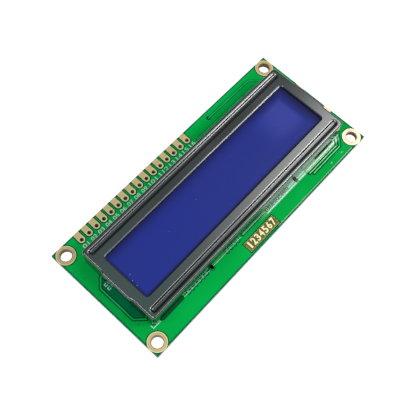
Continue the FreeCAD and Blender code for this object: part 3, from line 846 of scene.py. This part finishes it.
def textMesh(text, x, y, height, low, thick, widest, weight):
    curve = bpy.data.curves.new("figures", "FONT")
    curve.body = text
    curve.align_x = "CENTER"
    curve.align_y = "CENTER"
    curve.size = height / 0.72 * mm          # a figure is 0.72 of the font's size
    curve.extrude = thick / 2 * mm
    curve.offset = weight * mm
    curve.resolution_u = 3
    mesh = curveMesh(curve)
    span = max(v.co.x for v in mesh.vertices) - min(v.co.x for v in mesh.vertices)
    mesh.transform(Matrix.Diagonal((widest * mm / span, 1, 1, 1)))
    mesh.transform(Matrix.Translation((x * mm, y * mm, (low + thick / 2) * mm)))
    return mesh


def headerFigures():
    meshes = [textMesh(f"{i + 1:02d}", x, inkPrint["numberY"], inkPrint["numberHeight"], face,
                       inkPrint["thick"], inkPrint["numberWidth"], inkPrint["numberWeight"])
              for i, (x, y) in enumerate(foil["header"])]
    joinMeshes("header_figures", meshes, "printInk")


def outlinePrint():
    low, half = face + foil["raised"], inkPrint["partHalf"]
    near, far = inkPrint["partX"]
    runs = [(run, width) for width, group in inkPrint["runs"].items() for run in group]
    runs += [([(near, y - half), (far, y - half), (far, y + half), (near, y + half)], "line")
             for y in inkPrint["partsY"]]
    meshes = [flatMesh([band(run, inkPrint[width] / 2, 4)], low, low + inkPrint["thick"])
              for run, width in runs]
    joinMeshes("outline_print", meshes, "printInk")


mark = {                         # the bare field and its figures
    "y": -15.8, "height": 1.95, "count": 7, "pitch": 1.45, "width": 1.2, "firstWidth": 0.54, "thick": 0.012,
    "inset": 0.06, "low": 0.05, "groundThick": 0.006, "rimR": 0.06, "rimInset": 0.3, "rimTop": 0.5,
    "dark": dict(lift=0.006, weight=0.20, wider=0.22), "light": dict(lift=0.018, weight=0.085, wider=0.0),
}


def markField():                 # dull ground of the bare field, with a painted highlight: a lighter line at its two lit sides
    x0, y0, x1, y1 = foil["mark"]
    low, inset = face + mark["low"], mark["rimInset"]
    rim = [(x0 + inset, y1 - mark["rimTop"]), (x0 + inset, y0 + inset), (x1 - inset, y0 + inset)]
    ground = flatMesh([oblong(x0, y0, x1, y1, -mark["inset"])], low, low + mark["groundThick"])
    joinMeshes("marking_rim_highlight", [beadMesh(rim, low, mark["rimR"])], "markRimHighlight")
    joinMeshes("marking_ground", [ground], "markGround")


def markFigures(name, material, tone):       # the dark ones are bolder and lie under the light ones
    meshes = []
    for i in range(mark["count"]):
        x = (i - (mark["count"] - 1) / 2) * mark["pitch"]
        width = (mark["width"] if i else mark["firstWidth"]) + tone["wider"]
        meshes.append(textMesh(str(i + 1), x, mark["y"], mark["height"], face + mark["low"] + tone["lift"],
                               mark["thick"], width, tone["weight"]))
    joinMeshes(name, meshes, material)


headerFigures()
outlinePrint()
markField()
markFigures("marking_shadows", "markShade", mark["dark"])
markFigures("marking_figures", "markInk", mark["light"])
print("print made")


dust = {
    "seed": 4, "count": 22, "small": 0.02, "large": 0.045, "z": 9.75, "reachX": 31, "reachY": 6.6,
    "placed": [(-31.3, -0.8), (-31.9, -2.3), (-32.0, -3.9), (-6.7, 0.9)], "placedSize": 0.08,
    "uneven": (0.6, 1.3), "flat": 0.5, "lift": 0.2,
}


def dustGrains():
    random.seed(dust["seed"])
    spots = [(x, y, dust["placedSize"]) for x, y in dust["placed"]]
    for i in range(dust["count"]):
        x = random.uniform(-dust["reachX"], dust["reachX"])
        y = displayY + random.uniform(-dust["reachY"], dust["reachY"])
        spots.append((x, y, random.uniform(dust["small"], dust["large"])))
    grains = bmesh.new()
    for x, y, r in spots:
        start = len(grains.verts)
        bmesh.ops.create_icosphere(grains, subdivisions=1, radius=r * mm)
        grains.verts.ensure_lookup_table()
        place = Vector((x, y, dust["z"] + r * dust["lift"])) * mm
        for vert in grains.verts[start:]:
            jitter = random.uniform(*dust["uneven"])
            vert.co = place + Vector((vert.co.x, vert.co.y, vert.co.z * dust["flat"])) * jitter
    data = bpy.data.meshes.new("dust_grains")
    grains.to_mesh(data)
    grains.free()
    joinMeshes("dust_grains", [data], "dustGrey")


dustGrains()
print("dust made")


studio = {
    "around": (0.29, 0.32, 0.33), "horizon": (0.02, 0.02, 0.02), "horizonZ": (0.15, 0.8),
    "rear": (0.06, 0.06, 0.06), "rearY": (0.35, 0.8), "end": (0.02, 0.02, 0.02), "endX": (-0.6, -0.85),
    "panes": {                   # slopes across and along that bound each pane, and its light
        "left": ((-0.1, 0.05, 0.15, 0.42), (-0.05, 0.1, 0.25, 0.38), (0.37, 0.60, 0.58)),
        "right": ((0.15, 0.42, 0.9, 1.2), (-0.05, 0.1, 0.35, 0.6), (0.26, 0.29, 0.31)),
        "apron": ((0.16, 0.60, 0.63, 0.76), (-0.75, -0.5, 0.0, 0.12), (2.2, 2.2, 2.2)),
        "bright": ((0.16, 0.60, 0.63, 0.76), (-0.02, 0.06, 0.07, 0.285), (6.0, 6.0, 6.0)),
    },
    "floorSize": 3.0, "floorColour": (0.25, 0.25, 0.25), "floorRough": 0.9, "floorGlow": 0.96,
    "shadeX": 0.0355, "shadeY": 0.0175,
    "lamps": {                   # each faces straight down: middle, size and light given off
        "near_lamp": dict(at=(0.345, -0.345, 0.50), size=(0.23, 0.16), level=17.0),
        "side_lamp": dict(at=(0.130, -0.345, 0.50), size=(0.20, 0.16), level=6.0),
        "end_lamp": dict(at=(-0.330, 0.138, 0.50), size=(0.115, 0.225), level=9.0),
        "fill_lamp": dict(at=(-0.300, -0.110, 0.75), size=(0.36, 0.30), level=7.6),
    },
    "camera": dict(lens=58.01505, sensor=36.0, at=(-0.0559945, -0.03759288, 0.16190469),
                   turn=(0.90017277, 0.16088781, -0.09826853, -0.39261609)),
}


def seenBy(tree, *rays):         # 1 for these kinds of ray
    path = tree.nodes.new("ShaderNodeLightPath")
    seen = path.outputs[rays[0]]
    for ray in rays[1:]:
        seen = most(tree, seen, path.outputs[ray])
    return seen


def makeWorld():                 # slopes across and along are the direction's x and y for each unit upward
    world = bpy.data.worlds.new("studioWorld")
    bpy.context.scene.world = world
    world.use_nodes = True
    tree = world.node_tree
    tree.nodes.clear()
    output = tree.nodes.new("ShaderNodeOutputWorld")
    coords = tree.nodes.new("ShaderNodeTexCoord")
    x, y, z = parted(tree, coords.outputs["Generated"])
    upward = most(tree, z, 0.05)             # kept off zero
    across, along = [mathNode(tree, "DIVIDE", part, upward) for part in (x, y)]

    def hang(name, level):       # the level with one pane in it
        acrossEdges, alongEdges, light = studio["panes"][name]
        inside = times(tree, window(tree, across, acrossEdges), window(tree, along, alongEdges))
        return mixColour(tree, inside, level, light)

    level = hang("right", hang("left", studio["around"]))
    level = mixColour(tree, ramp(tree, y, *studio["rearY"]), level, studio["rear"])
    level = mixColour(tree, ramp(tree, x, *studio["endX"]), level, studio["end"])
    level = mixColour(tree, ramp(tree, z, *studio["horizonZ"]), studio["horizon"], level)
    level = hang("bright", hang("apron", level))
    around = tree.nodes.new("ShaderNodeBackground")
    tree.links.new(level, around.inputs["Color"])
    white = tree.nodes.new("ShaderNodeBackground")
    white.inputs["Color"].default_value = (1, 1, 1, 1)
    mix = tree.nodes.new("ShaderNodeMixShader")
    tree.links.new(seenBy(tree, "Is Camera Ray", "Is Transmission Ray"), mix.inputs[0])
    tree.links.new(around.outputs[0], mix.inputs[1])
    tree.links.new(white.outputs[0], mix.inputs[2])
    tree.links.new(mix.outputs[0], output.inputs["Surface"])


def makeFloor():
    data = bpy.data.meshes.new("floor")
    shape = bmesh.new()
    bmesh.ops.create_grid(shape, x_segments=1, y_segments=1, size=studio["floorSize"])
    shape.to_mesh(data)
    shape.free()
    floor = bpy.data.objects.new("floor", data)
    bpy.context.scene.collection.objects.link(floor)
    material, tree, shader = newMaterial("floorPaper")
    shader.inputs["Base Color"].default_value = studio["floorColour"] + (1.0,)
    shader.inputs["Roughness"].default_value = studio["floorRough"]
    shader.inputs["Specular IOR Level"].default_value = 0.0
    shader.inputs["Emission Color"].default_value = (1, 1, 1, 1)
    seen = seenBy(tree, "Is Camera Ray", "Is Transmission Ray", "Is Glossy Ray")
    coords = tree.nodes.new("ShaderNodeTexCoord")    # no glow in the shade right under the board
    x, y = parted(tree, coords.outputs["Object"])[:2]
    outX = above(tree, unsigned(tree, x), studio["shadeX"])
    outY = above(tree, unsigned(tree, y), studio["shadeY"])
    lit = times(tree, times(tree, seen, most(tree, outX, outY)), studio["floorGlow"])
    tree.links.new(lit, shader.inputs["Emission Strength"])
    data.materials.append(material)


def makeLamp(name, values):
    data = bpy.data.lights.new(name, "AREA")
    data.shape = "RECTANGLE"
    data.size, data.size_y = values["size"]
    data.energy = values["level"] * math.pi * data.size * data.size_y
    lamp = bpy.data.objects.new(name, data)
    lamp.location = values["at"]
    bpy.context.scene.collection.objects.link(lamp)


def makeCamera():
    values = studio["camera"]
    data = bpy.data.cameras.new("camera")
    data.lens = values["lens"]
    data.sensor_width = values["sensor"]
    data.clip_start, data.clip_end = 0.01, 20.0
    camera = bpy.data.objects.new("camera", data)
    camera.location = values["at"]
    camera.rotation_mode = "QUATERNION"
    camera.rotation_quaternion = values["turn"]
    bpy.context.scene.collection.objects.link(camera)
    bpy.context.scene.camera = camera


makeWorld()
makeFloor()
for name, values in studio["lamps"].items():
    makeLamp(name, values)
makeCamera()
bpy.context.scene.view_settings.view_transform = "Standard"
print("studio ready")
